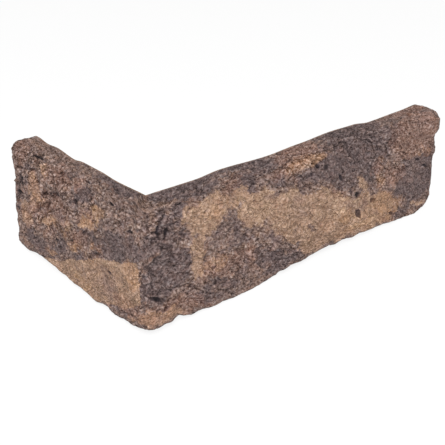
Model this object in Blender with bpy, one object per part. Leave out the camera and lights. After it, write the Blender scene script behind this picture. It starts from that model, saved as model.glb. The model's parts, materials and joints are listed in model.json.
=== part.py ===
"""Corner brick slip: an L-shaped facing brick, moulded in one piece, that turns a wall's outside corner.

Run it with: blender --background --python part.py
Metres, +Z up. +X runs along the long wing and +Y along the short wing, both away from the upright outer
corner. The origin is the middle of the footprint, on the bed that the slip stands on.
"""

import math

import bmesh
import bpy
import numpy as np
from mathutils import Vector

# Driving dimensions. The wings are measured on their outer faces, from the arris to the end.
LONG_WING = 0.217
SHORT_WING = 0.118
HEIGHT = 0.0635
THICKNESS = 0.015

# Rounding. The arris is the upright outer corner between the two outer faces. The edge round these faces is
# tight at the bed, the foot, and widens to the brow at the top, between two shares of the height.
ARRIS_RADIUS = 0.0035
FOOT_RADIUS = 0.0024
BROW_RADIUS = 0.0065
END_CORNER_RADIUS = 0.008
BROW_STARTS = 0.31
BROW_IS_FULL = 0.94

# The back of the bed stays flat, so that the slip stands firm. In front of it the bed is torn upwards.
BED_FLAT = 0.006
TEAR_HEIGHT = 0.015
END_BLEND = 0.014

# The torn edges, in millimetres. The first number is a share of the wing's length from the arris, or of the
# height from the bed. The second is how far the edge rises above the bed, stands over the nominal top, or
# stands out past the nominal end.
BED_RISE_LONG = [
    (0.00, 4.8), (0.03, 3.2), (0.06, 3.0), (0.085, 4.6), (0.13, 1.6), (0.19, 0.6), (0.25, 0.0), (0.33, 0.0),
    (0.38, 1.6), (0.42, 3.8), (0.47, 3.0), (0.52, 4.8), (0.57, 5.2), (0.60, 4.0), (0.63, 4.2), (0.70, 3.0),
    (0.76, 1.8), (0.83, 0.5), (0.90, 0.0), (1.00, 0.0),
]
BED_RISE_SHORT = [
    (0.00, 4.6), (0.10, 2.5), (0.17, 1.1), (0.26, 2.6), (0.39, 0.8), (0.52, 1.6), (0.66, 3.2), (0.79, 4.4),
    (0.89, 2.6), (1.00, 1.6),
]
TOP_LIFT_LONG = [
    (0.00, -0.1), (0.14, -0.5), (0.21, 0.4), (0.37, -0.8), (0.48, 0.0), (0.60, 1.0), (0.69, 0.6),
    (0.76, -1.0), (0.89, -0.5), (1.00, 0.6),
]
TOP_LIFT_SHORT = [
    (0.00, -0.1), (0.22, -0.7), (0.35, 0.0), (0.50, 0.0), (0.58, -1.0), (0.74, 0.5), (0.83, -0.1),
    (0.92, 1.0), (1.00, 1.8),
]
LONG_END_REACH = [
    (0.00, 0.0), (0.20, 0.9), (0.35, 0.7), (0.50, -1.4), (0.56, 0.8), (0.68, -0.2), (0.74, -0.3),
    (0.80, 3.0), (0.90, 3.8), (1.00, 2.8),
]
SHORT_END_REACH = [
    (0.00, 2.6), (0.10, 2.8), (0.22, 2.8), (0.38, 1.4), (0.52, -0.8), (0.70, -3.2), (0.78, -2.8),
    (0.88, 0.6), (1.00, 2.2),
]

# The lumps of the outer faces add up waves: height in metres, waves per metre along and up, and phase.
LUMPS = [
    (0.00040, 21.0, 11.0, 0.4),
    (0.00030, 34.0, -24.0, 1.3),
    (0.00025, 59.0, 43.0, 4.0),
    (0.00022, -45.0, 38.0, 2.6),
    (0.00020, 12.0, 57.0, 5.2),
]
# The rounded edge wanders along the wings: share of its radius, waves per metre along, and phase.
EDGE_WANDER = [(0.14, 38.0, 0.9), (0.12, 61.0, 2.2), (0.10, 77.0, 4.4)]

# Spacing of the cuts that the torn form is moulded on, the least distance between two cuts, the sides of
# each half of a rounded end corner, and the shares of a radius at which the rounded edges are cut.
CUT_SPACING = 0.0052
CLOSEST_CUTS = 0.0004
EDGE_STEPS = 2
ARRIS_CUTS = (0.4, 0.8)
FOOT_CUTS = (0.4, 1.0)
BROW_CUTS = (0.2, 0.55, 1.0)

# Fired clay with a brown-grey kiln coat, seen from far enough away to blend.
CLAY_COLOUR = (0.231, 0.162, 0.133, 1.0)
CLAY_ROUGHNESS = 0.9

MM = 0.001
MERGE = 1e-6


def ease(t):
    """A smooth step: 0 at t = 0, 1 at t = 1, level at both ends."""
    t = np.clip(t, 0.0, 1.0)
    return t * t * (3.0 - 2.0 * t)


def follow(profile, share):
    """The height of a torn edge at each share of its length, in metres, easing from point to point."""
    at, height = np.array(profile).T
    left = np.clip(np.searchsorted(at, share, side="right") - 1, 0, len(at) - 2)
    t = (share - at[left]) / (at[left + 1] - at[left])
    return MM * (height[left] + (height[left + 1] - height[left]) * ease(t))


def on_wings(along, long_profile, short_profile):
    """One torn edge over both wings: the short wing is where along is below zero."""
    share = np.where(along < 0, -along / SHORT_WING, along / LONG_WING)
    return np.where(along < 0, follow(short_profile, share), follow(long_profile, share))


def edge_radius(along, up):
    """The radius of the edge round the outer faces: it widens from the foot to the brow, and wanders."""
    share = (up / HEIGHT - BROW_STARTS) / (BROW_IS_FULL - BROW_STARTS)
    around = 2.0 * math.pi * along
    wander = sum(swing * np.sin(around * waves + phase) for swing, waves, phase in EDGE_WANDER)
    return (FOOT_RADIUS + (BROW_RADIUS - FOOT_RADIUS) * ease(share)) * (1.0 + wander)


def round_edges(along, depth, up):
    """Rounds the wings' end corners, seen face on, and then the edges round the outer faces."""
    radius = edge_radius(along, up)
    inner_along = np.clip(along, -SHORT_WING + END_CORNER_RADIUS, LONG_WING - END_CORNER_RADIUS)
    inner_up = np.clip(up, END_CORNER_RADIUS, HEIGHT - END_CORNER_RADIUS)
    out_along = along - inner_along
    out_up = up - inner_up
    square = np.maximum(abs(out_along), abs(out_up))
    circle = np.maximum(np.hypot(out_along, out_up), MERGE)

    from_edge = np.clip(radius - (END_CORNER_RADIUS - square), 0.0, None)
    from_face = np.clip(radius - depth, 0.0, None)
    shrink = np.maximum(from_edge, from_face) / np.maximum(np.hypot(from_edge, from_face), MERGE)
    on_both = (from_edge > 0) & (from_face > 0)
    shrink = np.where(on_both, shrink, 1.0)
    reach = square - from_edge * (1.0 - shrink)
    depth = depth + from_face * (1.0 - shrink)
    return inner_along + out_along / circle * reach, depth, inner_up + out_up / circle * reach


def tear_edges(along, depth, up):
    """Lifts the bed's front, waves the top and lets the ends lean. Points near an edge move with it."""
    bed_front = 1.0 - ease(depth / (THICKNESS - BED_FLAT))
    rise = on_wings(along, BED_RISE_LONG, BED_RISE_SHORT) * bed_front
    lift = on_wings(along, TOP_LIFT_LONG, TOP_LIFT_SHORT)
    share = np.clip(up / HEIGHT, 0.0, 1.0)
    near_long_end = ease((along - LONG_WING + END_BLEND) / END_BLEND)
    near_short_end = ease((-along - SHORT_WING + END_BLEND) / END_BLEND)
    torn_along = along + follow(LONG_END_REACH, share) * near_long_end
    torn_along -= follow(SHORT_END_REACH, share) * near_short_end
    torn_up = up + rise * (1.0 - ease(up / TEAR_HEIGHT))
    torn_up += lift * ease((up - HEIGHT + TEAR_HEIGHT) / TEAR_HEIGHT)
    return torn_along, depth, torn_up


def lump_face(along, depth, up):
    """Adds the lumps of a hand-moulded face, fading to nothing at the flat back."""
    lumps = sum(
        height * np.sin(2.0 * math.pi * (along * along_waves + up * up_waves) + phase)
        for height, along_waves, up_waves, phase in LUMPS
    )
    return along, depth - lumps * (1.0 - depth / THICKNESS), up


def fold(along, depth, up):
    """Folds the straight strip round the arris. A line through the wall runs from the outer path, whose
    corner is an arc of ARRIS_RADIUS, straight to the inner path, whose corner is sharp."""
    wing = np.where(along < 0, SHORT_WING, LONG_WING)
    share = abs(along) / wing
    half_arc = ARRIS_RADIUS * math.pi / 4.0
    run = share * (half_arc + wing - ARRIS_RADIUS)
    turn = np.clip(run / half_arc, 0.0, 1.0) * math.pi / 4.0
    outer_far = ARRIS_RADIUS * (1.0 - np.cos(math.pi / 4.0 + turn)) + np.clip(run - half_arc, 0.0, None)
    outer_near = ARRIS_RADIUS * (1.0 - np.sin(math.pi / 4.0 + turn))
    inner_far = THICKNESS + share * (wing - THICKNESS)
    across = depth / THICKNESS
    far = outer_far + (inner_far - outer_far) * across
    near = outer_near + (THICKNESS - outer_near) * across
    return np.where(along < 0, near, far), np.where(along < 0, far, near), up


def stations(length, edge_radius, both_ends=True):
    """Where a strip is cut across: close together in its rounded edges, evenly spaced between them."""
    steps = edge_radius * (1.0 - np.cos(np.linspace(0.0, math.pi / 2.0, EDGE_STEPS + 1)[1:]))
    last = length - edge_radius if both_ends else length
    spaces = max(1, round((last - edge_radius) / CUT_SPACING))
    even = np.linspace(edge_radius, last, spaces + 1)
    return np.unique(np.concatenate([steps, even, length - steps] if both_ends else [steps, even[:-1]]))


def apart(cuts):
    """The cuts in order, without those that lie almost on the one before."""
    kept = []
    for at in sorted(cuts):
        if not kept or at - kept[-1] > CLOSEST_CUTS:
            kept.append(at)
    return kept


def cut_strip():
    """A straight strip as long as both outer faces, cut into a grid everywhere but on its back, which stays
    one flat face for each wing. Its axes are along, depth and up."""
    bm = bmesh.new()
    bmesh.ops.create_cube(bm, size=1.0)
    middle = Vector(((LONG_WING - SHORT_WING) / 2.0, THICKNESS / 2.0, HEIGHT / 2.0))
    bmesh.ops.scale(bm, vec=(LONG_WING + SHORT_WING, THICKNESS, HEIGHT), verts=bm.verts)
    bmesh.ops.translate(bm, vec=middle, verts=bm.verts)
    whole = bm.verts[:] + bm.edges[:] + bm.faces[:]
    bmesh.ops.bisect_plane(bm, geom=whole, plane_co=(0, 0, 0), plane_no=(1, 0, 0))

    long_cuts = LONG_WING - stations(LONG_WING, END_CORNER_RADIUS, both_ends=False)
    short_cuts = stations(SHORT_WING, END_CORNER_RADIUS, both_ends=False) - SHORT_WING
    round_arris = [side * ARRIS_RADIUS * share for side in (-1, 1) for share in ARRIS_CUTS]
    foot_cuts = [FOOT_RADIUS * share for share in FOOT_CUTS]
    brow_cuts = [BROW_RADIUS * share for share in BROW_CUTS]
    end_cuts = [LONG_WING - at for at in brow_cuts] + [at - SHORT_WING for at in brow_cuts]
    along_cuts = [*long_cuts, *short_cuts, *round_arris, *end_cuts]
    depth_cuts = [*foot_cuts, *brow_cuts, THICKNESS - BED_FLAT]
    up_cuts = [*stations(HEIGHT, END_CORNER_RADIUS), *foot_cuts, *(HEIGHT - at for at in brow_cuts)]
    cuts = [(0, at) for at in apart(along_cuts)]
    cuts += [(1, at) for at in apart(depth_cuts)]
    cuts += [(2, at) for at in apart(up_cuts)]
    for axis, at in cuts:
        plane = Vector((0.0, 0.0, 0.0))
        plane[axis] = 1.0
        skin = [face for face in bm.faces if min(v.co.y for v in face.verts) < THICKNESS - MERGE]
        edges = {edge for face in skin for edge in face.edges}
        verts = {vert for face in skin for vert in face.verts}
        reached = [*verts, *edges, *skin]
        bmesh.ops.bisect_plane(bm, geom=reached, dist=MERGE, plane_co=plane * at, plane_no=plane)
    return bm


def mould(bm):
    """Moves the strip's points to the folded, rounded and torn form, centred over the origin."""
    points = np.array([vert.co for vert in bm.verts])
    placed = round_edges(*points.T)
    placed = tear_edges(*placed)
    placed = lump_face(*placed)
    placed = np.array(fold(*placed)).T
    middle = (placed.min(axis=0) + placed.max(axis=0)) / 2.0
    middle[2] = 0.0
    for vert, point in zip(bm.verts, placed - middle):
        vert.co = point
    bmesh.ops.recalc_face_normals(bm, faces=bm.faces)


def clay():
    """Matt fired clay."""
    material = bpy.data.materials.new("clay")
    material.use_nodes = True
    shader = material.node_tree.nodes["Principled BSDF"]
    shader.inputs["Base Color"].default_value = CLAY_COLOUR
    shader.inputs["Roughness"].default_value = CLAY_ROUGHNESS
    shader.inputs["Metallic"].default_value = 0.0
    return material


def build():
    for obj in list(bpy.data.objects):
        bpy.data.objects.remove(obj)
    collection = bpy.data.collections.new("corner_brick_slip")
    bpy.context.scene.collection.children.link(collection)

    bm = cut_strip()
    mould(bm)
    mesh = bpy.data.meshes.new("corner_slip")
    bm.to_mesh(mesh)
    bm.free()
    mesh.materials.append(clay())
    slip = bpy.data.objects.new("corner_slip", mesh)
    collection.objects.link(slip)


build()
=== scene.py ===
# %% [markdown]
# # A corner brick slip, hand moulded and kiln fired
#
# A corner slip is a thin L of brick that turns the outside corner of a wall. This lesson dresses
# the plain solid of one: the torn edges and pitted faces of soft clay thrown into a mould, and the
# brown-grey coat that the kiln leaves over tan clay. First the solid is loaded. It says where
# everything is, in metres.

import itertools
import json
import math

import bpy
import numpy as np
from mathutils import Matrix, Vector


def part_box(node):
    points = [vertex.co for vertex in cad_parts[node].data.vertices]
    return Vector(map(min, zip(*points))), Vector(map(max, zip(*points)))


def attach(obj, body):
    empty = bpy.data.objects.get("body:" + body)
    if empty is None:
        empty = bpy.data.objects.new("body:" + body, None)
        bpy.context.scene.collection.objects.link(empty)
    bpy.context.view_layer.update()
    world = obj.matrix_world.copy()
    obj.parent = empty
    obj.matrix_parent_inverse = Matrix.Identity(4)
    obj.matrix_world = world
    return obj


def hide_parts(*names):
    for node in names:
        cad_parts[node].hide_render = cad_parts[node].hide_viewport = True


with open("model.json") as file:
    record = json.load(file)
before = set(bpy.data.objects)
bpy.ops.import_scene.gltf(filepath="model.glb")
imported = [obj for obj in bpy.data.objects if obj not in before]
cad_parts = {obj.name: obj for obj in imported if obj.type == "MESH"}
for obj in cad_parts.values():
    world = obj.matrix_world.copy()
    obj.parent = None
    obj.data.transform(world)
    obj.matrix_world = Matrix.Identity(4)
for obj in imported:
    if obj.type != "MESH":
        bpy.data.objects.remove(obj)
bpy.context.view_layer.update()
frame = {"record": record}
low, high = (np.array(corner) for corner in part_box("corner_slip"))
mounts = {mount["name"]: mount["pos_m"] for mount in frame["record"]["mounts"]}
print("solid, mm:", np.round((high - low) * 1000, 1))

# %% [markdown]
# ## The slip, unfolded
#
# Everything is easier on the slip laid out flat, before it is folded round the corner. A place on
# it then has three numbers, in millimetres: how far along it is from the arris (the upright outer
# corner), how deep it is below the outer face, and how high it is above the bed. The short wing has
# negative lengths. Only the backs are truly flat, so the arris is found from them.

# %% Sizes, in millimetres
MM = 0.001
LONG_WING = 217.0
SHORT_WING = 118.0
HEIGHT = 63.5
WALL = 15.0

back_corner = np.array([mounts["short_wing_back"][0], mounts["long_wing_back"][1], 0.0])
arris = back_corner / MM - [WALL, WALL, 0.0]
print("arris foot, mm:", np.round(arris, 2))

# %% [markdown]
# ## Natural roughness
#
# Torn clay has no pattern that repeats, but it isn't plain chance either: its bumps have a size.
# Gradient noise gives such bumps. Space is cut into cells of the wanted size, each corner of a cell
# gets a random slope, and the slopes are blended between the corners. It needs a number from chance
# that is the same for the same place every time, so the cell's own place is scrambled into one.

# %% Numbers from chance
PLACE_FACTORS = np.array([73856093, 19349663, 83492791], dtype=np.uint32)
SEED_FACTOR = 2654435761
STIRS = ((15, 2246822519), (13, 3266489917), (16, 668265263))
LAST_SHIFT = 15
GROUP_BITS = 10


def chance(cells, seed):
    """Three numbers from -1 to 1 for each whole-numbered cell: its numbers are multiplied by large
    odd numbers, folded into one and stirred by shifts, and the result is cut into three groups of
    ten bits."""
    mixed = np.bitwise_xor.reduce(cells.astype(np.int64).astype(np.uint32) * PLACE_FACTORS, axis=-1)
    mixed = mixed ^ np.uint32(seed * SEED_FACTOR % 2**32)
    for shift, factor in STIRS:
        mixed = (mixed ^ (mixed >> np.uint32(shift))) * np.uint32(factor)
    mixed ^= mixed >> np.uint32(LAST_SHIFT)
    largest = 2**GROUP_BITS - 1
    groups = [(mixed >> np.uint32(n * GROUP_BITS)) & np.uint32(largest) for n in range(3)]
    return np.stack(groups, axis=-1) / (largest / 2.0) - 1.0


print("drawn for cell 1, 2, 3:", np.round(chance(np.array([[1.0, 2.0, 3.0]]), seed=1)[0], 2))

# %% [markdown]
# Several sizes of bumps on top of each other look like clay. Grains and pits are single things, so
# they have another kind of noise: one seed is scattered in each cell, and the distance to the
# nearest one draws a ball round it.

# %% Noise
FULL_SWING = 1.5
SCATTER = 0.45


def bumps(points, size, seed):
    """Gradient noise from about -1 to 1: the random slopes at the eight corners of a point's cell,
    each times the way from that corner, are blended by an eased share of the distance."""
    cell = np.floor(points / size)
    inside = points / size - cell
    eased = inside**3 * (inside * (inside * 6.0 - 15.0) + 10.0)
    total = np.zeros(points.shape[:-1])
    for corner in itertools.product((0, 1), repeat=3):
        share = np.prod(np.where(corner, eased, 1.0 - eased), axis=-1)
        total += share * np.sum(chance(cell + corner, seed) * (inside - corner), axis=-1)
    return total * FULL_SWING


def layers(points, size, count, seed, keep=0.5):
    """Noise on noise: each layer has half the size of the last and `keep` times its height."""
    return sum(bumps(points, size / 2**n, seed + n) * keep**n for n in range(count))


def nearest_seed(points, size, seed):
    """Scatters one seed in each cell of space. Gives the distance from each point to its nearest
    seed, in cells, and a number from 0 to 1 that is the seed's own: what is left behind the point
    of a sum of its offsets."""
    cell = np.floor(points / size)
    best = np.full(points.shape[:-1], np.inf)
    number = np.zeros(points.shape[:-1])
    for step in itertools.product((-1, 0, 1), repeat=3):
        place = chance(cell + step, seed)
        away = np.linalg.norm(points / size - cell - step - 0.5 - SCATTER * place, axis=-1)
        number = np.where(away < best, (place[..., 0] * 7.0 + place[..., 1] * 3.0) % 1.0, number)
        best = np.minimum(away, best)
    return best, number


def ease(t):
    """A smooth step: 0 at t = 0, 1 at t = 1, level at both ends."""
    t = np.clip(t, 0.0, 1.0)
    return t * t * (3.0 - 2.0 * t)


trial = bumps(np.stack(np.meshgrid(*[np.arange(30.0)] * 3), axis=-1), size=5.3, seed=1)
print("noise runs over", np.round([trial.min(), trial.max()], 2))

# %% [markdown]
# ## One skin for the whole slip
#
# The slip is a single lump, so its surface is one closed grid. One parameter runs along the strip,
# the other once round its section: up the outer face, over the top, down the back and along the
# underside. The grid is fine where the clay is rough and coarse on the sawn-flat back. At each end
# the section shrinks to a point.

# %% The grid
FACE_STEP = 0.58
TOP_STEP = 0.72
BACK_STEP = 3.6
BED_STEP = 1.3
CAP_RINGS = 20


def steps(start, stop, spacing):
    """Evenly spaced numbers from start up to, but not including, stop."""
    return np.linspace(start, stop, round(abs(stop - start) / spacing), endpoint=False)


face_up = steps(0.0, HEIGHT, FACE_STEP)
top_depth = steps(0.0, WALL, TOP_STEP)
back_down = steps(HEIGHT, 0.0, BACK_STEP)
bed_depth = steps(WALL, 0.0, BED_STEP)
section_depth = np.concatenate([face_up * 0.0, top_depth, back_down * 0.0 + WALL, bed_depth])
section_up = np.concatenate([face_up, top_depth * 0.0 + HEIGHT, back_down, bed_depth * 0.0])

run = np.append(steps(-SHORT_WING, LONG_WING, FACE_STEP), LONG_WING)
shrunk = np.arange(1, CAP_RINGS + 1) / (CAP_RINGS + 1.0)
ring_along = np.concatenate([shrunk * 0.0 - SHORT_WING, run, shrunk * 0.0 + LONG_WING])
ring_scale = np.concatenate([shrunk, run * 0.0 + 1.0, shrunk[::-1]])

along = np.repeat(ring_along[:, None], len(section_up), axis=1)
depth = WALL / 2.0 + (section_depth - WALL / 2.0) * ring_scale[:, None]
up = HEIGHT / 2.0 + (section_up - HEIGHT / 2.0) * ring_scale[:, None]
print("skin:", along.shape[0], "rings of", along.shape[1], "points")

# %% [markdown]
# ## Torn edges
#
# No edge of the slip is straight. The bed is torn upwards in scallops, the ends lean and bulge, and
# the top wanders. Each of these lines is a list of pairs, a share of the edge's length and how far
# the edge is moved there in millimetres, as one would bend a wire. The solid follows the same
# lines more coarsely, so the skin adds only the small scallops.

# %% The torn outline
BED_RISE_LONG = [
    (0.00, 4.8), (0.03, 3.8), (0.05, 3.7), (0.065, 3.0), (0.085, 4.6), (0.105, 3.0), (0.13, 1.8),
    (0.19, 0.7), (0.25, 0.3), (0.31, 0.0), (0.33, 0.0), (0.345, 0.5), (0.38, 0.8), (0.40, 2.8),
    (0.43, 4.4), (0.47, 3.1), (0.51, 4.0), (0.56, 5.2), (0.585, 4.6), (0.60, 3.0), (0.63, 3.8),
    (0.69, 3.6), (0.76, 1.9), (0.83, 1.2), (0.87, 0.2), (0.93, 0.1), (0.965, 1.9), (1.00, 3.0),
]
BED_RISE_SHORT = [
    (0.00, 4.6), (0.10, 2.7), (0.17, 1.1), (0.26, 2.7), (0.36, 1.9), (0.41, 1.5), (0.49, 2.8),
    (0.525, 2.6), (0.57, 1.5), (0.61, 2.2), (0.67, 5.0), (0.73, 4.4), (0.78, 4.8), (0.84, 3.4),
    (0.89, 2.4), (0.93, 1.9), (1.00, 0.2),
]
TOP_LIFT_LONG = [
    (0.00, -0.1), (0.14, -0.5), (0.21, 0.4), (0.37, -0.8), (0.48, 0.0), (0.60, 1.0), (0.69, 0.6),
    (0.76, -1.0), (0.89, -0.5), (1.00, 0.6),
]
TOP_LIFT_SHORT = [
    (0.00, -0.1), (0.22, -0.7), (0.35, 0.0), (0.50, 0.0), (0.58, -1.0), (0.74, 0.5), (0.83, -0.1),
    (0.92, 1.0), (1.00, 1.8),
]
LONG_END_REACH = [
    (0.00, 0.8), (0.09, 2.3), (0.13, 0.8), (0.18, -0.2), (0.30, -0.1), (0.40, 0.8), (0.49, 0.5),
    (0.53, 0.5), (0.57, 2.4), (0.61, 2.2), (0.65, 0.6), (0.73, -0.5), (0.76, 0.2), (0.79, 4.6),
    (0.84, 5.2), (0.88, 4.7), (0.93, 3.2), (1.00, 2.0),
]
SHORT_END_REACH = [
    (0.00, 5.6), (0.05, 5.2), (0.10, 4.1), (0.14, 2.7), (0.18, 0.3), (0.22, 0.2), (0.29, 1.9),
    (0.33, 1.7), (0.39, 3.2), (0.42, 3.0), (0.47, 0.0), (0.53, -1.4), (0.61, -1.4), (0.65, -1.8),
    (0.72, -4.7), (0.78, -6.4), (0.84, -3.5), (0.88, -1.4), (0.94, 0.6), (1.00, 0.6),
]
highest = max(rise for share, rise in BED_RISE_LONG + BED_RISE_SHORT)
print("the bed is torn up to", highest, "mm high")

# %% [markdown]
# A point moves with the edge that is near it, and less the further it is away. The tear of the bed
# belongs to the outer face: the underside stays flat further in, where the slip stands on it. The
# ends lean and bulge in front, and are much calmer behind.

# %% Tearing the edges
BED_FLAT = 6.0
TEAR_HEIGHT = 15.0
END_BLEND = 14.0
BACK_END_CALM = 0.7


def follow(profile, share):
    """How far a torn edge is moved at each share of its length, easing from point to point."""
    at, moved = np.array(profile).T
    left = np.clip(np.searchsorted(at, share, side="right") - 1, 0, len(at) - 2)
    t = (share - at[left]) / (at[left + 1] - at[left])
    return moved[left] + (moved[left + 1] - moved[left]) * ease(t)


def on_wings(along, long_profile, short_profile):
    """One torn edge over both wings: the short wing is where along is below zero."""
    share = np.where(along < 0, -along / SHORT_WING, along / LONG_WING)
    return np.where(along < 0, follow(short_profile, share), follow(long_profile, share))


def tear_edges(along, depth, up):
    """Lifts the front of the bed, waves the top and lets the ends lean: each edge's own movement,
    times an eased share that falls to nothing a few millimetres away from it."""
    bed_front = 1.0 - ease(depth / (WALL - BED_FLAT))
    rise = on_wings(along, BED_RISE_LONG, BED_RISE_SHORT) * bed_front
    lift = on_wings(along, TOP_LIFT_LONG, TOP_LIFT_SHORT)
    near_bed = 1.0 - ease(up / TEAR_HEIGHT)
    near_top = ease((up - HEIGHT + TEAR_HEIGHT) / TEAR_HEIGHT)

    share = np.clip(up / HEIGHT, 0.0, 1.0)
    end_front = 1.0 - BACK_END_CALM * ease(depth / WALL)
    near_long_end = ease((along - LONG_WING + END_BLEND) / END_BLEND)
    near_short_end = ease((-along - SHORT_WING + END_BLEND) / END_BLEND)
    long_reach = follow(LONG_END_REACH, share) * end_front * near_long_end
    short_reach = follow(SHORT_END_REACH, share) * end_front * near_short_end
    return along + long_reach - short_reach, depth, up + rise * near_bed + lift * near_top


torn_up = tear_edges(along, depth, up)[2]
print("torn heights, mm:", np.round([torn_up.min(), torn_up.max()], 1))

# %% [markdown]
# ## Rounded edges
#
# Soft clay doesn't hold a sharp edge. A square patch becomes a round one when each point is pulled
# towards the middle by the ratio of its square distance (the larger of its two offsets) to its
# round distance. That is done twice: once for the corners of the ends, seen face on, and once for
# the edges round the outer faces. The edge is sharper at the foot than at the brow, and its radius
# wanders along the slip, by the same waves as in the solid.

# %% Rounding
END_CORNER_RADIUS = 8.0
FOOT_RADIUS = 2.4
BROW_RADIUS = 6.5
BROW_STARTS = 0.31
BROW_IS_FULL = 0.94
EDGE_WANDER = [(0.14, 0.038, 0.9), (0.12, 0.061, 2.2), (0.10, 0.077, 4.4)]
TINY = 1e-6


def round_edges(along, depth, up, edge_radius):
    """Pulls the end corners, then the edges round the outer faces, from a square to a circle."""
    inner_along = np.clip(along, END_CORNER_RADIUS - SHORT_WING, LONG_WING - END_CORNER_RADIUS)
    inner_up = np.clip(up, END_CORNER_RADIUS, HEIGHT - END_CORNER_RADIUS)
    out_along = along - inner_along
    out_up = up - inner_up
    square = np.maximum(abs(out_along), abs(out_up))
    circle = np.maximum(np.hypot(out_along, out_up), TINY)

    from_edge = np.clip(edge_radius - (END_CORNER_RADIUS - square), 0.0, None)
    from_face = np.clip(edge_radius - depth, 0.0, None)
    corner = np.maximum(np.hypot(from_edge, from_face), TINY)
    on_edge = (from_edge > 0) & (from_face > 0)
    shrink = np.where(on_edge, np.maximum(from_edge, from_face) / corner, 1.0)
    reach = square - from_edge * (1.0 - shrink)
    depth = depth + from_face * (1.0 - shrink)
    return inner_along + out_along / circle * reach, depth, inner_up + out_up / circle * reach


brow = ease((up / HEIGHT - BROW_STARTS) / (BROW_IS_FULL - BROW_STARTS))
wander = sum(
    swing * np.sin(2.0 * math.pi * along * waves + phase) for swing, waves, phase in EDGE_WANDER
)
edge_radius = (FOOT_RADIUS + (BROW_RADIUS - FOOT_RADIUS) * brow) * (1.0 + wander)
print("edge radius, mm:", np.round([edge_radius.min(), edge_radius.max()], 1))

# %% [markdown]
# ## Lumps, and the fold
#
# The maker's hands leave low, wide lumps on the outer faces. They are a few sine waves, the same
# ones as in the solid, so that the skin lies on it everywhere. The fold comes last. It carries each
# line through the wall from the outer path, with its small arc, to the inner path.

# %% Fold
ARRIS_RADIUS = 3.5
LUMPS = [
    (0.40, 0.021, 0.011, 0.4), (0.30, 0.034, -0.024, 1.3), (0.25, 0.059, 0.043, 4.0),
    (0.22, -0.045, 0.038, 2.6), (0.20, 0.012, 0.057, 5.2),
]


def lump_face(along, depth, up):
    """A sum of sine waves over the outer faces, that fades to nothing at the flat backs. Each has
    its height, its waves per millimetre along and up, and its start."""
    lumps = sum(
        height * np.sin(2.0 * math.pi * (along * along_waves + up * up_waves) + phase)
        for height, along_waves, up_waves, phase in LUMPS
    )
    return along, depth - lumps * (1.0 - depth / WALL), up


def fold(along, depth, up):
    """A point's share of its wing gives a place on the outer path, which has an arc at the arris,
    and one on the inner path, which has a sharp corner. Its share of the wall's depth lies between
    the two."""
    wing = np.where(along < 0, SHORT_WING, LONG_WING)
    share = abs(along) / wing
    half_arc = ARRIS_RADIUS * math.pi / 4.0
    run = share * (half_arc + wing - ARRIS_RADIUS)
    turn = math.pi / 4.0 * (1.0 + np.clip(run / half_arc, 0.0, 1.0))
    outer_far = ARRIS_RADIUS * (1.0 - np.cos(turn)) + np.clip(run - half_arc, 0.0, None)
    outer_near = ARRIS_RADIUS * (1.0 - np.sin(turn))
    inner_far = WALL + share * (wing - WALL)
    across = depth / WALL
    far = outer_far + (inner_far - outer_far) * across
    near = outer_near + (WALL - outer_near) * across
    return np.stack([np.where(along < 0, near, far), np.where(along < 0, far, near), up], axis=-1)


body = fold(*lump_face(*tear_edges(*round_edges(along, depth, up, edge_radius))))
print("folded, mm:", np.round(body.min(axis=(0, 1)), 1), "to", np.round(body.max(axis=(0, 1)), 1))

# %% [markdown]
# ## Which way is out
#
# Relief pushes the skin in and out, so each point needs its outward direction. It is the cross
# product of the two directions in which the grid runs there.

# %% Outward directions
def outward(points):
    """The unit normal at each grid point: the change from ring to ring, crossed with the change
    round the ring."""
    from_ring = np.gradient(points, axis=0)
    round_ring = np.roll(points, -1, axis=1) - np.roll(points, 1, axis=1)
    normal = np.cross(from_ring, round_ring)
    return normal / np.maximum(np.linalg.norm(normal, axis=-1, keepdims=True), TINY)


normal = outward(body)
print("outer face looks along", np.round(normal[len(ring_along) // 2, len(face_up) // 2], 2))

# %% [markdown]
# ## The map of the surface
#
# The clay's finish isn't the same all over, so a map says what is where. It is drawn on the
# unfolded slip: along the wings from the arris, and up the face from the line at which the bed is
# torn. Over the top edge the second number keeps growing with the depth, so that a patch can run
# over the edge. The backs are sawn flat and bare all over, so their places are moved far off the
# map.
#
# Each patch is a blob, an ellipse: its place, its half sizes and its tilt in degrees. The map is
# warped by noise first, so no blob keeps its plain outline.

# %% Blobs on the unfolded slip
TEAR_LINE = 3.5
SAWN_LAYER = 0.6
SAWN_EDGE = 8.0
OFF_THE_MAP = 200.0
PATCH_WARP = 3.6

over_edge = depth * (section_up >= HEIGHT) - depth * (section_up <= 0.0)
sawn = (depth - WALL + SAWN_LAYER) * SAWN_EDGE
chart = np.stack([along, up + over_edge - TEAR_LINE - OFF_THE_MAP * (sawn > 0.0)], axis=-1)
warp = np.stack([layers(body, 14.0, 5, seed, keep=0.6) for seed in (11, 23)], axis=-1)
warped = chart + PATCH_WARP * warp


def blob(place, middle_along, middle_up, half_length, half_height, tilt):
    """How far inside an ellipse each place lies, in millimetres: one minus the distance from the
    middle in units of the half sizes, times the smaller half size."""
    turn = math.radians(tilt)
    offset = place - [middle_along, middle_up]
    length = offset[..., 0] * math.cos(turn) + offset[..., 1] * math.sin(turn)
    height = offset[..., 1] * math.cos(turn) - offset[..., 0] * math.sin(turn)
    inside = 1.0 - np.hypot(length / half_length, height / half_height)
    return inside * min(half_length, half_height)


def union(place, blobs):
    """The deepest of several blobs at each place."""
    return np.max([blob(place, *numbers) for numbers in blobs], axis=0)


moved = np.linalg.norm(warped - chart, axis=-1)
print("the warp moves a place by", round(float(moved.mean()), 1), "mm on average")

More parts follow.
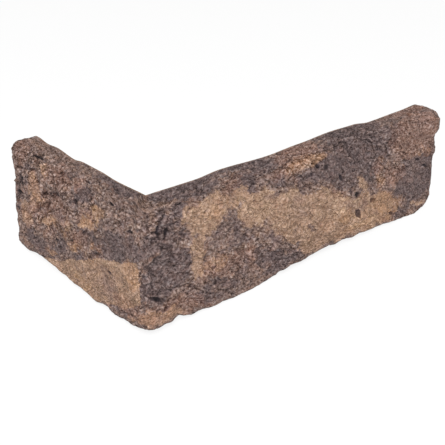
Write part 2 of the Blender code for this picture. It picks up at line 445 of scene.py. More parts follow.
# %% [markdown]
# ## Bare clay
#
# Tan clay shows where the coat never formed: where another brick leant on this one in the kiln, and
# where the surface rubbed off. The bricks that leant on it left two patches with straight edges.
# These are cut by half planes instead of drawn as blobs: a line's signed distance, with the
# smallest of several lines kept. Some bare clay is worn paler, and some keeps a thin, greyer coat.

# %% Bare patches
BARE = [
    (37, 50, 15, 8.5, -8), (33, 44, 10, 5, -12), (32, 29, 4, 12, 2), (42, 22.5, 6, 2.2, -12),
    (69, 42, 13, 9, -12), (56, 51, 8, 4.5, -8), (92, 33, 18, 12, -20), (120, 25, 26, 11, -20),
    (113, 7, 14, 9, -15), (146, 11, 36, 14, -5), (167, 12, 15, 9, -10), (149, 31, 8, 3, -50),
    (205, 2, 4, 1.4, -25), (95, 58.5, 2.4, 1.9, 0), (103, 58, 3.5, 1.6, -10),
    (111.5, 58, 4, 2, -20), (98, 19, 13, 6, -25), (12, 3, 12, 4, -6), (2, 7, 7, 4, 0),
    (-30.5, 48.5, 7, 4, 35), (-43.5, 39.5, 7, 3.5, 30), (-59, 33, 6, 2.5, 28), (-104, 28, 5, 4, 30),
    (-82, 28, 8, 3, 25), (-93, 42, 6.5, 7, 0), (-97, 30, 6, 3.5, 30), (-103, 21, 9, 4, 35),
    (-82, 56, 3, 2.5, 0), (-80, 11, 4, 1.6, 28), (-9, 3, 5, 2, 0), (-51, 4, 3, 1.2, 0),
    (-55, 24, 4, 1.5, 28), (-88, 37, 4, 2.5, 25),
]
PRESSED = [
    [(-40, -5), (-0.6, 14.8), (-1.7, 36.6), (-42, 22), (-80, 4), (-94, -5)],
    [(28.5, 17), (34.5, 18), (35.5, 38), (28.5, 39)],
]
WORN = [(-51, 4.5, 9, 4.5, 5), (150, 4, 18, 4, -3)]
THIN_COAT = [
    (-26, 14, 12, 8, 20), (-93, 43, 6, 5, 0), (-60, 33, 8, 4, 25), (-4, 7, 10, 4, 20),
    (163, 27, 12, 4, -35), (-98, 26, 9, 3.5, 35), (102, 58, 12, 4, 0),
]
PRESSED_WARP = [0.6, 1.6]
PRESSED_EDGE = 3.0


def inside_corners(place, corners):
    """How far inside a patch with straight edges each place lies. Its corners go round it to the
    left, and the answer is the smallest of the distances to the left of its edges."""
    distances = []
    for (x0, y0), (x1, y1) in zip(corners, corners[1:] + corners[:1]):
        side = (x1 - x0) * (place[..., 1] - y0) - (y1 - y0) * (place[..., 0] - x0)
        distances.append(side / math.hypot(x1 - x0, y1 - y0))
    return np.min(distances, axis=0)


hardly_warped = chart + PRESSED_WARP * warp
pressed = np.max([inside_corners(hardly_warped, corners) for corners in PRESSED], axis=0)
bare = np.maximum(np.maximum(union(warped, BARE), pressed * PRESSED_EDGE), sawn)
worn = union(warped, WORN)
thin = union(warped, THIN_COAT)
outer_face = slice(len(face_up))
print("bare clay on the outer faces:", round(float(np.mean(bare[:, outer_face] > 0)), 2))

# %% [markdown]
# ## The coat
#
# Elsewhere the kiln left its brown-grey coat. It is darkest where soot settled, and redder in other
# places. Here and there the clay is more ochre, mostly on the bare patches and round them. A brick
# that leant on the slip kept the soot off, so soot creeps only a little way under its edge.

# %% Soot, brown and ochre
SOOT = [
    (12, 27, 15, 11, 0), (5, 17, 6, 3, -20), (22, 32, 8, 5, -15), (12, 8.5, 2, 3, 0),
    (10, 44, 12, 6, -10), (13.5, 52, 8, 3, -67), (21, 57, 4, 5, 0), (38, 64, 9, 3.5, -8),
    (48, 44, 4, 2, -40), (54, 36, 5, 2.5, -50), (58, 28, 6, 2, -20), (36, 6, 9, 4.5, -25),
    (48, 9, 9, 3, -25), (80, 10, 14, 5, -25), (97, 4, 7, 5, -20), (76, 14, 8, 3.5, -25),
    (88, 3, 12, 4, 0), (116, 48, 12, 7.5, -8), (103, 49, 7, 3, -10), (83, 52, 5, 3, -10),
    (151, 54, 25, 16, -10), (132, 44, 14, 9, -25), (134, 60, 14, 8, 0), (155, 36, 9, 5, -50),
    (198, 20, 18, 15, -12), (190, 30, 12, 6, -10), (205, 25, 10, 11, 0), (185, 19, 5, 2.5, -35),
    (190, 3, 7, 3, 0), (63, 58, 7, 8, 0), (75, 66, 10, 5, 0), (20, 72, 22, 7, 0),
    (60, 74, 20, 6, 0), (144, 72, 26, 9, 0), (-16, 38, 18, 6.5, 14), (-43, 55, 9, 4.5, 12),
    (-52, 48, 4, 3, 30), (-76, 44.5, 8, 2, 15), (-66, 36.5, 4, 2.5, 30), (-82, 42, 4, 2, 0),
    (-97, 10, 11, 5.2, 5), (-92, 3.5, 9, 2, 0), (-75, 15, 10, 4, 30), (-70, 20.5, 6, 3.5, 25),
    (-52, 20, 5, 2, 25), (123, 48, 6, 6, 0), (-41, 35, 7, 1.6, 15), (-35, 27.5, 3, 1.5, 15),
    (-87, 32, 6, 2, 0), (-111, 32.5, 3.5, 2.6, 10), (-103, 44, 2, 4, 0), (-97, 52, 5, 1.5, 0),
    (-22, 2, 5, 2.5, 0), (-20, 74, 18, 6, 0),
]
PALE_BROWN = [
    (192, 52, 22, 16, -8), (208, 40, 8, 7, 0), (173, 55, 5, 9, 0), (55, 60, 5, 6, 0),
    (82, 57, 6, 4, 0), (50, 19, 16, 5, -8), (18, 6, 20, 6, -6), (98, 66, 16, 9, 0),
    (200, 76, 22, 9, 0), (160, 37, 5, 5, -40), (176, 30, 10, 6, -30), (-80, 36, 22, 8, 20),
    (-70, 56, 14, 6, 5), (-105, 60, 8, 9, 0), (-10, 8, 12, 6, 0), (-106, 20, 9, 7, 10),
    (-97, 27, 14, 5, 20), (-93, 44, 7, 7, 0), (-44, 42, 8, 4, 25), (-50, 28, 8, 4, 25),
    (-62, 36, 8, 4, 30), (-50, 60, 4, 5, 0), (-34, 32, 5, 3, 25),
]
OCHRE = [
    (-3, 7, 10, 4, 10), (168, 12, 18, 9, -10), (99, 57, 12, 6, 0), (112, 58, 6, 4, 10),
    (42, 50, 9, 3, -12), (166, 30, 6, 3, -55), (164, 40, 6, 1.5, -20), (16, 5, 3, 4, 0),
    (155, 4, 30, 4, -3), (136, 16, 6, 5, 0), (206, 36, 8, 2.5, -5), (-33, 50, 6, 3, 25),
    (-43, 39.5, 7, 3.5, 30), (-93, 44, 4, 5, 0), (-7, 29, 7, 8, 0), (-51, 5, 9, 4.5, 10),
    (-66, 26, 6, 2, 28), (1, 5, 6, 3, 10), (-104, 22, 8, 3, 20), (-78, 27, 8, 2.5, 20),
    (-35, 31, 6, 3, 25), (-45, 21.5, 6, 2.5, 25), (-81, 11, 5, 2.5, 25), (-56, 24, 7, 3, 28),
    (-88, 36, 7, 4, 25), (-31, 47, 6, 3.5, 30),
]
SOOT_CREEPS_IN = 2.0

soot = np.minimum(union(warped, SOOT), SOOT_CREEPS_IN - pressed)
pale = union(warped, PALE_BROWN)
ochre = union(warped, OCHRE)
print("soot on the outer faces:", round(float(np.mean(soot[:, outer_face] > 0)), 2))

# %% [markdown]
# ## Dark hollows, and how torn the face is
#
# A few dark hollows catch the eye, where a lump of clay didn't fill the mould. They are small
# blobs, hardly warped, that later sink in, and the material paints shade into them. Two more lists
# say where the face is crumbly and where it came smooth out of the mould.

# %% Spots, crumbly and smooth places
SPOTS = [
    (144.5, 26.5, 3, 1.4, -35), (147, 14.5, 3, 2, -40), (159, 19, 2.6, 1.4, -30),
    (6, 16.5, 3.8, 1.1, -38), (12, 9, 1.2, 2, 0), (111, 52, 2.4, 0.7, -50),
    (129, 41, 3.4, 0.8, -50), (178, 4, 2, 1, -30), (206, 27, 3, 0.8, -20), (198, 33, 2.4, 0.7, -20),
    (9, 50, 1, 2.5, -20), (13, 47, 1, 2.5, -20), (-51.5, 48.5, 2, 1.4, 20), (-26, 21, 1.6, 1, 20),
    (-39, 60, 2, 0.8, 10), (-21, 60, 2, 1, 0), (-7, 49, 2, 0.7, 15), (-89.5, 61.2, 5.5, 1.1, 14),
    (-110, 34.5, 3.6, 1.1, 10), (-113, 23, 2.5, 1, 15), (-94, 51, 3.5, 0.9, 15),
    (-104, 50, 3, 0.8, 10), (-104.5, 42, 0.8, 3.5, 0), (-79, 37, 3.5, 1.1, 50),
    (-81, 42.5, 3.5, 1.2, 20), (-70, 46, 3, 0.9, 25), (-66, 60.8, 2, 1, 0),
    (-90, 31.5, 2.5, 1.1, 15), (-45, 34.5, 3, 0.6, 35), (-34.5, 27, 2.6, 0.9, 15),
    (-42, 23.5, 1.6, 0.5, 20), (-58, 25.5, 1.8, 0.6, 30), (-74, 20, 2, 0.8, 10),
    (-43, 64, 3, 0.8, 5),
]
CRUMBLY = [
    (-92, 52, 20, 12, 0), (-66, 44, 16, 14, 20), (-80, 34, 36, 16, 22), (-36, 50, 8, 8, 30),
    (102, 57, 18, 8, 0), (150, 60, 22, 8, -8), (176, 44, 8, 18, 20), (12, 56, 12, 8, 0),
    (90, 8, 16, 5, -20),
]
SMOOTH = [
    (194, 50, 22, 14, -8), (196, 18, 20, 17, -10), (117, 49, 12, 9, -8), (60, 40, 26, 8, -12),
    (50, 33, 12, 5, 0), (-14, 38, 18, 8, 14), (-92, 10, 18, 8, 5), (-40, 56, 10, 5, 10),
    (170, 14, 22, 10, -10), (18, 4, 20, 6, -6),
]
SPOT_WARP = 0.8
SMOOTH_SHARE = 0.8
TEXTURE_EDGE = 8.0


def mostly_inside(blobs):
    """1 well inside the blobs and 0 well outside, with an edge that is wide and eased."""
    return ease(0.5 + union(warped, blobs) / TEXTURE_EDGE)


spots = union(chart + SPOT_WARP * warp, SPOTS)
crumbly = mostly_inside(CRUMBLY) - SMOOTH_SHARE * mostly_inside(SMOOTH)
print("crumbly, from calm to torn:", np.round([crumbly.min(), crumbly.max()], 1))

# %% [markdown]
# ## The lie of the layers
#
# Clay that is thrown into a mould lies in flattened layers, so its folds and grains are drawn out
# along them. On both faces the layers slope down, away from the arris. So each point also gets its
# place on that slope, and noise is looked up there with the first number squeezed, which draws the
# noise out along the layers.

# %% Places on the slope
SLOPE = math.radians(28.0)
ARRIS_EASED = 1.0
WINGS_APART = 5.0
DRAWN_OUT = 1.35
WRINKLES_DRAWN_OUT = 2.0


def slope_places(along, depth, up):
    """Three numbers for each point: how far it is down the slope of the layers, how far across it,
    and how deep. Both wings slope down from the arris. A smooth step there in the third number
    keeps the wings apart."""
    from_arris = np.hypot(along, ARRIS_EASED)
    down = from_arris * math.cos(SLOPE) - up * math.sin(SLOPE)
    across = from_arris * math.sin(SLOPE) + up * math.cos(SLOPE)
    return np.stack([down, across, depth + WINGS_APART * np.tanh(along / WINGS_APART)], axis=-1)


on_slope = slope_places(along, depth, up)
layered = on_slope / [DRAWN_OUT, 1.0, 1.0]
wrinkled = on_slope / [WRINKLES_DRAWN_OUT, 1.0, 1.0]
print("layers slope down by", round(math.degrees(SLOPE)), "degrees")

# %% [markdown]
# ## Relief
#
# Six things shape the outer faces. Knolls are low and wide. Folds are torn, wrinkled clay: the
# distance of noise from zero has sharp creases between round swellings. Cracks follow the zero line
# of a wider noise, in places. Crumbs are grains of grog and sand round scattered seeds, pits are
# where such grains fell out, and grit is the fine noise on everything. All of them could be a
# displacement in the material, but here they move the mesh itself.
#
# Noise moves the place at which the folds and cracks are looked up, which makes them swirl. Torn
# says how rough a place is: crumbly places are rougher, and bare clay was pressed or rubbed smooth.

# %% Folds, cracks, crumbs and pits
TORN_PLAIN = 0.45
TORN_BY_CRUMBLY = 0.5
TORN_BY_CHANCE = 0.4
TORN_BY_BARE = 0.12
SWIRL = 1.8
CRACK_WIDTH = 0.07
PIT_WARP = 0.7
PIT_WALL = 7.0

by_chance = layers(body, size=26.0, count=2, seed=31)
torn = TORN_PLAIN + TORN_BY_CRUMBLY * crumbly + TORN_BY_CHANCE * by_chance
torn = ease(torn - np.clip(bare, -3.0, 4.0) * TORN_BY_BARE)
turned = [layers(layered, size=7.0, count=3, seed=seed) for seed in (41, 42, 43)]
swirl = wrinkled + SWIRL * np.stack(turned, axis=-1)
folds = abs(layers(swirl, size=5.0, count=3, seed=51, keep=0.6)) * 2.0 - 0.6
crack_line = abs(layers(swirl, size=9.0, count=2, seed=55))
crack_places = ease(4.0 * layers(body, size=11.0, count=2, seed=57) - 0.3)
cracks = ease(1.0 - crack_line / CRACK_WIDTH) * crack_places
crumb_away, crumb_number = nearest_seed(layered, size=1.9, seed=61)
radius_squared = 0.30 * crumb_number + 0.02
crumbs = np.sqrt(np.maximum(radius_squared - crumb_away**2, 0.0))
pit_away, pit_number = nearest_seed(layered + PIT_WARP * warp[..., :1], size=4.2, seed=71)
pit_radius = 0.08 + 0.28 * pit_number**3
pits = ease((pit_radius - pit_away) * PIT_WALL)
grit = layers(layered, size=2.0, count=2, seed=81, keep=0.8)
knolls = layers(layered, size=8.0, count=2, seed=97)
print("cracked share:", round(float(np.mean(cracks > 0.5)), 3))
print("pitted share:", round(float(np.mean(pits > 0.5)), 3))

# %% [markdown]
# Their sum is the relief. It fades towards the sawn backs, which get only a faint grain, and it is
# calmer along the edges, whose shape is torn already. The dark hollows sink in wherever they lie.

# %% The relief
KNOLL = 0.35
FOLD = 0.62
CRACK = 0.8
CRUMB = 0.2
GRIT = 0.22
PIT_DEPTH = 1.0
SPOT_DEPTH = 0.8
SPOT_SLOPE = 1.4
BACK_GRAIN = 0.05
BACK_SKIN = 0.2
BACK_FADE = 1.5
EDGE_CALM = 6.0


def between(least, share):
    """From least, where the share is 0, to 1, where the share is 1."""
    return least + (1.0 - least) * share


outside = ease((WALL - BACK_SKIN - depth) / BACK_FADE)
relief = KNOLL * knolls
relief += FOLD * folds * between(0.2, torn) - CRACK * cracks * between(0.3, torn)
relief += CRUMB * crumbs * between(0.4, torn) + GRIT * grit - PIT_DEPTH * pits
edge_away = np.min([up, WALL - depth, LONG_WING - along, SHORT_WING + along], axis=0)
relief *= outside * between(0.35, ease(edge_away / EDGE_CALM))
relief -= SPOT_DEPTH * ease(0.3 + spots / SPOT_SLOPE)
relief += BACK_GRAIN * layers(body, size=5.0, count=2, seed=95) * (1.0 - outside)
print("relief, mm:", np.round([relief.min(), relief.std(), relief.max()], 2))

# %% [markdown]
# The material paints shade into the hollows and a little light onto the crests. To find them, the
# relief is compared with its own average over a few millimetres: what lies below the average is a
# hollow.

# %% Hollows, for the painted shade
HOLLOW_REACH = 3


def average(values, reach):
    """The mean over a window of grid points, first from ring to ring and then round the ring."""
    for axis, mode in ((0, "edge"), (1, "wrap")):
        pad = [(reach, reach) if n == axis else (0, 0) for n in range(2)]
        total = np.cumsum(np.pad(values, pad, mode=mode), axis=axis)
        size = values.shape[axis]
        last = np.take(total, np.arange(2 * reach, 2 * reach + size), axis=axis)
        first = np.take(total, np.arange(size), axis=axis)
        values = (last - first) / (2.0 * reach)
    return values


hollow = relief - average(average(relief, HOLLOW_REACH), HOLLOW_REACH)
shaped = body + normal * relief[..., None]
shaped[..., 2] = np.maximum(shaped[..., 2], 0.0)
print("deepest hollow, mm:", round(float(hollow.min()), 2))

# %% [markdown]
# ## Into a mesh
#
# Neighbouring rings are joined by quads, and each end closes with a fan of triangles onto one
# point, its pole. The faces are whole arrays too, because a loop over a hundred thousand of them
# would be slow.

# %% The faces
def grid_faces(rings, size):
    """Quads between neighbouring rings, then a fan of triangles at each end. Gives the corners of
    all faces, one after another, and how many corners each face has."""
    index = np.arange(rings * size).reshape(rings, size)
    around = np.roll(index, -1, axis=1)
    quads = np.stack([index[:-1], index[1:], around[1:], around[:-1]], axis=-1)
    poles = rings * size + np.arange(2)
    first = np.stack([np.full(size, poles[0]), index[0], around[0]], axis=-1)
    last = np.stack([np.full(size, poles[1]), around[-1], index[-1]], axis=-1)
    corners = np.concatenate([quads.ravel(), first.ravel(), last.ravel()])
    return corners, np.concatenate([np.full((rings - 1) * size, 4), np.full(2 * size, 3)])


face_corners, face_sizes = grid_faces(*along.shape)
print("faces:", len(face_sizes), "triangles:", len(face_corners) - 2 * len(face_sizes))

# %% [markdown]
# The map is stored on the points as attributes, in millimetres from each patch's edge, for the
# material to read. That keeps every patch where it is on the slip and on the mesh, and the material
# can still break its edge up more finely than the mesh could.

# %% The skin
def with_poles(values):
    """The values of all grid points one after another, then each pole's, which is the mean of the
    ring next to it."""
    values = values.reshape(*along.shape, -1)
    poles = np.stack([values[0].mean(axis=0), values[-1].mean(axis=0)])
    return np.concatenate([values.ravel(), poles.ravel()]).astype(np.float32)


fields = {"bare": bare, "pale": pale, "ochre": ochre, "soot": soot, "spots": spots, "thin": thin}
fields |= {"worn": worn, "crumbly": crumbly, "hollow": hollow, "on_slope": on_slope * MM}

mesh = bpy.data.meshes.new("slip_skin")
mesh.vertices.add(along.size + 2)
mesh.vertices.foreach_set("co", with_poles((shaped + arris) * MM))
mesh.loops.add(len(face_corners))
mesh.loops.foreach_set("vertex_index", face_corners)
mesh.polygons.add(len(face_sizes))
mesh.polygons.foreach_set("loop_start", np.cumsum(face_sizes) - face_sizes)
for name, values in fields.items():
    kind, key = ("FLOAT_VECTOR", "vector") if values.ndim == 3 else ("FLOAT", "value")
    mesh.attributes.new(name, kind, "POINT").data.foreach_set(key, with_poles(values))
mesh.update(calc_edges=True)
mesh.validate()
mesh.shade_smooth()

skin = bpy.data.objects.new("slip_skin", mesh)
bpy.context.scene.collection.objects.link(skin)
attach(skin, "root")
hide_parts("corner_slip")
print("fields on the skin:", ", ".join(fields))

# %% [markdown]
# A closed mesh with all its faces pointing outwards holds a volume: a third of the sum, over the
# faces, of the area times how far the face's plane lies from the origin. It should be close to the
# solid's, and a little below it, because pits and cracks take away more than crumbs add.

# %% How much clay the skin holds
def measured(what, numbers):
    """What the mesh knows about its faces: one row for each, of so many numbers."""
    values = np.zeros(len(mesh.polygons) * numbers)
    mesh.polygons.foreach_get(what, values)
    return values.reshape(-1, numbers)


plane_away = np.sum(measured("center", 3) * measured("normal", 3), axis=1)
volume = float(np.sum(measured("area", 1)[:, 0] * plane_away)) / 3.0
print("volume, cm3:", round(volume * 1e6, 1))

# %% [markdown]
# ## Writing a material as sums
#
# A node tree is easier to read as arithmetic. A Wire wraps one socket, and adding or multiplying
# wires adds the Math nodes. Every other node comes from one method.

# %% Wires
def set_stops(ramp, stops):
    """Puts a colour at each place along a ramp, instead of its own two."""
    for place, colour in stops[2:]:
        ramp.elements.new(place)
    for element, (place, colour) in zip(ramp.elements, sorted(stops)):
        element.position = place
        element.color = colour


class Wire:
    """A socket in a node tree, with arithmetic."""

    def __init__(self, tree, socket=None):
        self.tree = tree
        self.socket = socket

    def node(self, kind, settings=None, sockets=None, output=0):
        """Adds a node, sets it up, fills its sockets with values or wires, and gives one output
        back."""
        node = self.tree.nodes.new(kind)
        for name, value in (settings or {}).items():
            if name == "stops":
                set_stops(node.color_ramp, value)
            else:
                setattr(node, name, value)
        for name, value in (sockets or {}).items():
            if isinstance(value, Wire):
                self.tree.links.new(value.socket, node.inputs[name])
            else:
                node.inputs[name].default_value = value
        return Wire(self.tree, node.outputs[output])

    def math(self, operation, *others):
        """One Math node, with this wire in its first socket."""
        sockets = dict(enumerate((self, *others)))
        return self.node("ShaderNodeMath", {"operation": operation}, sockets)

    def __add__(self, other):
        return self.math("ADD", other)

    def __sub__(self, other):
        return self.math("SUBTRACT", other)

    def __rsub__(self, other):
        return self.node("ShaderNodeMath", {"operation": "SUBTRACT"}, {0: other, 1: self})

    def __mul__(self, other):
        return self.math("MULTIPLY", other)

    __radd__ = __add__
    __rmul__ = __mul__

    def ramp(self, start, stop):
        """0 below start, 1 above stop, eased between them."""
        settings = {"interpolation_type": "SMOOTHSTEP"}
        sockets = {"Value": self, "From Min": start, "From Max": stop, "To Min": 0.0, "To Max": 1.0}
        return self.node("ShaderNodeMapRange", settings, sockets)

    def tint(self, low, high):
        """The colour low where this wire is 0, and high where it is 1."""
        sockets = {0: self, 6: low, 7: high}
        return self.node("ShaderNodeMix", {"data_type": "RGBA"}, sockets, output=2)


def paint(red, green, blue):
    """A colour given as screen values from 0 to 255, as the linear light that nodes work in, by the
    rule for standard screens."""
    share = np.array([red, green, blue]) / 255.0
    linear = np.where(share <= 0.04045, share / 12.92, ((share + 0.055) / 1.055) ** 2.4)
    return (*(float(value) for value in linear), 1.0)


print("a mid grey on screen is this much light:", round(paint(128, 128, 128)[0], 3))

# %% [markdown]
# ## Fired clay: noises that follow the layers
#
# The clay's colour follows the same layers as its relief, so the material looks its noises up in
# the places on the slope that the mesh carries. Those are in metres, and so are the sizes here.

# %% The noises
DISTANCE, COLOUR = 0, 1
PATCH_GAIN = 4.0

clay = bpy.data.materials.new("fired_clay")
clay.use_nodes = True
shader = clay.node_tree.nodes["Principled BSDF"]
make = Wire(clay.node_tree)
place = make.node("ShaderNodeAttribute", {"attribute_name": "on_slope"}, output=1)


def drawn(times):
    """The places on the slope, squeezed along the layers, which draws out what is looked up."""
    squeeze = {0: place, 1: (1.0 / times, 1.0, 1.0)}
    return make.node("ShaderNodeVectorMath", {"operation": "MULTIPLY"}, squeeze)


along_layers = drawn(DRAWN_OUT)
along_wrinkles = drawn(WRINKLES_DRAWN_OUT)


def noise(size, detail=2.0, roughness=0.55, distortion=0.0, vector=along_layers):
    """Noise with bumps of one size, from about -0.5 to 0.5."""
    sockets = {"Vector": vector, "Scale": 1.0 / size, "Detail": detail}
    sockets |= {"Roughness": roughness, "Distortion": distortion}
    return make.node("ShaderNodeTexNoise", None, sockets) - 0.5


def patches(size, full, roughness=0.55):
    """1 in the high places of a noise and 0 in its low ones, with an eased edge between them."""
    return (noise(size, roughness=roughness) * PATCH_GAIN).ramp(0.0, full)


def grains(size, output):
    """Scattered seeds: either the distance to the nearest one, or that seed's own colour."""
    sockets = {"Vector": along_layers, "Scale": 1.0 / size, "Randomness": 1.0}
    return make.node("ShaderNodeTexVoronoi", None, sockets, output=output)


def field(name):
    """One field of the map, from the mesh."""
    return make.node("ShaderNodeAttribute", {"attribute_name": name}, output=2)


mottle = noise(0.0075, 3.0, 0.6)
clots = noise(0.0032, 2.0, 0.6)
speckle = noise(0.00125, 1.0, 0.5)
sand = grains(0.0008, COLOUR) - 0.5
print("nodes for the noises:", len(clay.node_tree.nodes))

# %% [markdown]
# ## Fired clay: where each finish is
#
# Each field of the map is a distance from a patch's edge. Noise is added to it before it is
# compared, so the edge crumbles. Bare clay is smoother than the coat, and its grain shows less.

# %% Patches with crumbling edges
CRUMBLE_REACH = 9.0

crumble = noise(0.0030, 5.0, 0.7) * CRUMBLE_REACH
is_bare = (field("bare") + crumble).ramp(-1.0, 1.0)
is_pale = (field("pale") + crumble).ramp(-1.2, 1.2)
is_sooty = (field("soot") - crumble).ramp(-1.2, 1.2) * (1.0 - is_bare * 0.75)
is_shaded_spot = (field("spots") + crumble * 0.15).ramp(-0.4, 0.4)
is_thin = (field("thin") + crumble).ramp(-2.5, 5.0) * is_bare
is_worn = (field("worn") + crumble).ramp(-2.0, 4.0) * is_bare
is_ochre = (field("ochre") + crumble).ramp(-1.5, 2.5) * (mottle * 3.0 + 0.8)
is_crumbly = field("crumbly") + mottle * 1.5
grain_share = 1.0 - is_bare * (0.54 - is_crumbly.math("MAXIMUM", 0.0) * 0.2)
grain_share = grain_share * (is_crumbly * 0.08 + 0.78)
print("nodes with the patches:", len(clay.node_tree.nodes))

# %% [markdown]
# ## Fired clay: one tone, one ramp
#
# Nearly all of the clay's colours lie on one line, from soot-dark through brown to tan. So the
# material first works out one number, its tone, and looks the colour up on a ramp. Each finish
# raises or lowers the tone, noise of several sizes mottles it, and painted shade darkens the
# hollows of the relief, with a little painted light on its crests.

# %% The tone
PLAIN_TONE = 0.525
BARE_LIGHTER = 0.30
PALE_DARKER = 0.03
SOOT_DARKER = 0.17
SPOT_TONE_SHADE = 0.30
THIN_DARKER = 0.10
WORN_LIGHTER = 0.09
CREST_LIGHTER = 0.3
CREST_LIMIT = 0.06
SHADE, MOTTLE, CLOTS = 0.16, 0.34, 0.24
TONES = [
    (0.00, paint(36, 31, 32)), (0.16, paint(70, 59, 57)), (0.33, paint(96, 81, 78)),
    (0.50, paint(117, 97, 90)), (0.66, paint(136, 111, 98)), (0.84, paint(160, 131, 111)),
    (1.00, paint(196, 168, 142)),
]

tone = is_bare * BARE_LIGHTER + PLAIN_TONE - is_pale * (1.0 - is_bare) * PALE_DARKER
# The dark hollows get painted shade, here in the tone and below in the grain.
tone = tone - is_sooty * SOOT_DARKER - is_shaded_spot * SPOT_TONE_SHADE
tone = tone + noise(0.022) * SHADE + (mottle * MOTTLE + clots * CLOTS) * grain_share
# Painted shade in the hollows of the relief, and a little painted light on its crests.
tone = tone + (field("hollow") * CREST_LIGHTER).math("MINIMUM", CREST_LIMIT)
tone = tone - is_thin * THIN_DARKER + is_worn * WORN_LIGHTER
colour = make.node("ShaderNodeValToRGB", {"stops": TONES}, {0: tone})
print("stops on the ramp:", len(TONES))

# %% [markdown]
# A little ochre, rust and purple keep the ramp from looking mixed from one pot. Rust and purple
# come in soft patches of their own, less of them in the soot. Soot and the thin coat also lean to
# purple, and the redder coat to rust.

# %% Three more pots
OCHRE_CLAY = paint(184, 139, 101)
RUST = paint(146, 106, 88)
PURPLE = paint(98, 84, 92)

clear_of_soot = 1.0 - is_sooty * 0.6
colour = (is_ochre.ramp(0.0, 1.0) * 0.30).tint(colour, OCHRE_CLAY)
for size, share, pot in ((0.0068, 0.26, RUST), (0.0082, 0.24, PURPLE)):
    in_patches = patches(size, 0.9, roughness=0.6)
    colour = (in_patches * clear_of_soot * share).tint(colour, pot)
colour = (is_sooty * 0.10 + is_thin * 0.15).tint(colour, PURPLE)
colour = (is_pale * 0.26).tint(colour, RUST)
print("nodes with all pots:", len(clay.node_tree.nodes))

# %% [markdown]
# ## Fired clay: the grain, with painted shade and highlights
#
# Sand, flecks, pinholes and fine creases are too small for the mesh. They change how light the clay
# is: one number that the colour is multiplied by. In that number the creases, rifts and pinholes
# are painted shade, and the speckle, sand and flecks are partly the clay's own grain and partly
# painted highlights and shade of relief. Creases and rifts are the zero lines of noises that are
# drawn out further than the rest, and dots round scattered seeds make the pinholes and the flecks.
# The saturation falls as that number rises. Each kind has its weight in that number.

# %% Grain, creases and dots
SPECKLE, SAND, CLOT, FLECK = 3.5, 1.5, 0.2, 0.1
CREASE_SHADE, PINHOLE_SHADE, SPOT_SHADE = 0.45, 0.55, 0.42
PLAIN_LIGHT = 1.12
GRAIN_LIFT = 0.38
DARKEST = 0.25


def zero_line(size, detail, distortion, width):
    """0 along the zero line of a noise, and 1 away from it."""
    return noise(size, detail, 0.6, distortion, along_wrinkles).math("ABSOLUTE").ramp(0.0, width)


def dots(size, radius, patch_size):
    """Round dots about scattered seeds, in patches."""
    return (radius - grains(size, DISTANCE)).ramp(0.0, 0.12) * patches(patch_size, 0.8)


crease = zero_line(0.0030, 3.0, 0.8, 0.085)
rift = zero_line(0.0062, 4.0, 0.5, 0.035)
pinhole = dots(0.0020, 0.30, 0.0045)
fleck = dots(0.0017, 0.28, 0.0060)
rift_shade = (is_crumbly * 0.35 + 0.45).math("MAXIMUM", 0.1)
# Creases, rifts and pinholes are painted shade. Speckle, sand and flecks are partly the clay's own
# grain and partly painted highlights and shade of the relief.
light = speckle * SPECKLE + sand * SAND + clots * CLOT + fleck * FLECK
light = light - (1.0 - crease) * CREASE_SHADE - (1.0 - rift) * rift_shade
light = light - pinhole * PINHOLE_SHADE
light = (light + GRAIN_LIFT) * grain_share + PLAIN_LIGHT
light = light.math("MAXIMUM", DARKEST) * (1.0 - is_shaded_spot * SPOT_SHADE)
grain_and_painted_shade = {"Saturation": 1.41 - light * 0.33, "Value": light, "Color": colour}
colour = make.node("ShaderNodeHueSaturation", None, grain_and_painted_shade)
print("nodes with the grain:", len(clay.node_tree.nodes))

# %% [markdown]
# ## Fired clay: roughness and bump
#
# Fired clay is matt all over, and some grains more than others. A bump node raises the same grains
# and sinks the same creases as the colour shows. Its heights are in metres.

# %% Into the shader
roughness = speckle * 0.3 + 0.88
height = speckle * 0.0009 + clots * 0.0014 + crease * 0.0003 + rift * 0.0005 - pinhole * 0.0005
bump = make.node("ShaderNodeBump", None, {"Strength": 1.0, "Distance": 1.0, "Height": height})
for socket, wire in (("Base Color", colour), ("Roughness", roughness), ("Normal", bump)):
    clay.node_tree.links.new(wire.socket, shader.inputs[socket])
shader.inputs["Specular IOR Level"].default_value = 0.25
mesh.materials.append(clay)
print("nodes in the clay:", len(clay.node_tree.nodes))

# %% [markdown]
# ## The white room
#
# A white card lies under the slip, in an evenly white room. Both are white by themselves, through
# Light Path, to rays that look straight at them. Then the lamp doesn't have to be turned up for
# them until the clay looks washed out. The card glows for only a part of what such a ray sees. The
# rest is plain paper, which still shows the slip's soft shadow.

# %% The white card
WHITE = (1.0, 1.0, 1.0, 1.0)
PAPER = (0.8, 0.8, 0.8, 1.0)
GLOW_SHARE = 0.8
GLOW_STRENGTH = 1.08
FLOOR_HALF = 4.0


def seen_directly(make):
    """1 for rays that look at something straight, in a mirror or through glass, and 0 for those
    that light it: the largest of Light Path's outputs for these three."""
    rays = [make.node("ShaderNodeLightPath", output=output) for output in (0, 3, 6)]
    return rays[0].math("MAXIMUM", rays[1]).math("MAXIMUM", rays[2])


card = bpy.data.materials.new("white_card")
card.use_nodes = True
card_nodes = card.node_tree.nodes
card_nodes.remove(card_nodes["Principled BSDF"])
card_wire = Wire(card.node_tree)
paper = card_wire.node("ShaderNodeBsdfDiffuse", None, {"Color": PAPER})
glow = card_wire.node("ShaderNodeEmission", None, {"Color": WHITE, "Strength": GLOW_STRENGTH})
mixed = {0: seen_directly(card_wire) * GLOW_SHARE, 1: paper, 2: glow}
surface = card_wire.node("ShaderNodeMixShader", None, mixed)
card.node_tree.links.new(surface.socket, card_nodes["Material Output"].inputs["Surface"])

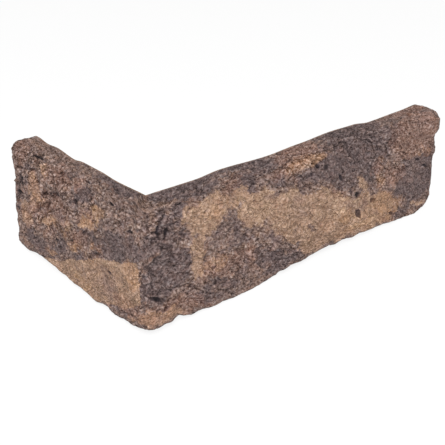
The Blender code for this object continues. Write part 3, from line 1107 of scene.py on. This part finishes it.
floor_mesh = bpy.data.meshes.new("floor")
square = ((-1, -1), (1, -1), (1, 1), (-1, 1))
floor_corners = [(x * FLOOR_HALF, y * FLOOR_HALF, 0.0) for x, y in square]
floor_mesh.from_pydata(floor_corners, [], [(0, 1, 2, 3)])
floor_mesh.materials.append(card)
floor = bpy.data.objects.new("floor", floor_mesh)
bpy.context.scene.collection.objects.link(floor)
print("floor, m:", 2.0 * FLOOR_HALF, "across")

# %% [markdown]
# The room is the world behind everything. For the rays that light the slip it is less than half as
# bright as for those that look at it, so that the lamp still shapes the relief.

# %% The white room
ROOM_LIGHT = 0.45

room = bpy.data.worlds.new("studio")
room.use_nodes = True
background = room.node_tree.nodes["Background"]
background.inputs["Color"].default_value = WHITE
brightness = seen_directly(Wire(room.node_tree)) * (1.0 - ROOM_LIGHT) + ROOM_LIGHT
room.node_tree.links.new(brightness.socket, background.inputs["Strength"])
bpy.context.scene.world = room
print("light from the room:", ROOM_LIGHT)

# %% [markdown]
# ## The lamp
#
# The light is plain and soft. One square lamp stands above and behind the camera, so that both
# outer faces and the top are lit alike, and the white room fills in the rest.

# %% One soft lamp
KEY_PLACE = np.array([-0.85, -0.96, 1.20])
KEY_SIZE = 0.6
KEY_POWER = 26.6

key_light = bpy.data.lights.new("key", "AREA")
key_light.size = KEY_SIZE
key_light.energy = KEY_POWER
lamp = bpy.data.objects.new("key", key_light)
lamp.location = KEY_PLACE
away = KEY_PLACE / np.linalg.norm(KEY_PLACE)
bearing = math.atan2(away[1], away[0])
lamp.rotation_euler = (math.acos(away[2]), 0.0, bearing + math.pi / 2.0)
bpy.context.scene.collection.objects.link(lamp)
print("the lamp is", round(float(np.linalg.norm(KEY_PLACE)), 2), "m away")

# %% [markdown]
# ## The camera
#
# The camera's place was worked out from the outline of the slip in its photograph: six corners of
# the L, whose real sizes are known, leave only one place, direction and lens. It stands 0.35 m from
# the arris and looks down at it.

# %% Camera
CAMERA_FROM_ARRIS = (-158.4, -236.2, 197.3)
CAMERA_RIGHT = np.array([0.7540, -0.6569, -0.0025])
CAMERA_UP = np.array([0.2943, 0.3344, 0.8953])
CAMERA_LENS = 61.05
SENSOR_WIDTH = 36.0

camera_data = bpy.data.cameras.new("camera")
camera_data.lens = CAMERA_LENS
camera_data.sensor_width = SENSOR_WIDTH
camera = bpy.data.objects.new("camera", camera_data)
bpy.context.scene.collection.objects.link(camera)
camera.location = (np.array(CAMERA_FROM_ARRIS) + arris + [0.0, 0.0, TEAR_LINE]) * MM
axes = [CAMERA_RIGHT, CAMERA_UP, np.cross(CAMERA_RIGHT, CAMERA_UP)]
camera.rotation_euler = Matrix(np.stack(axes, axis=1)).to_euler()
bpy.context.scene.camera = camera
bpy.context.scene.view_settings.view_transform = "Standard"
print("camera, m:", np.round(camera.location, 3))
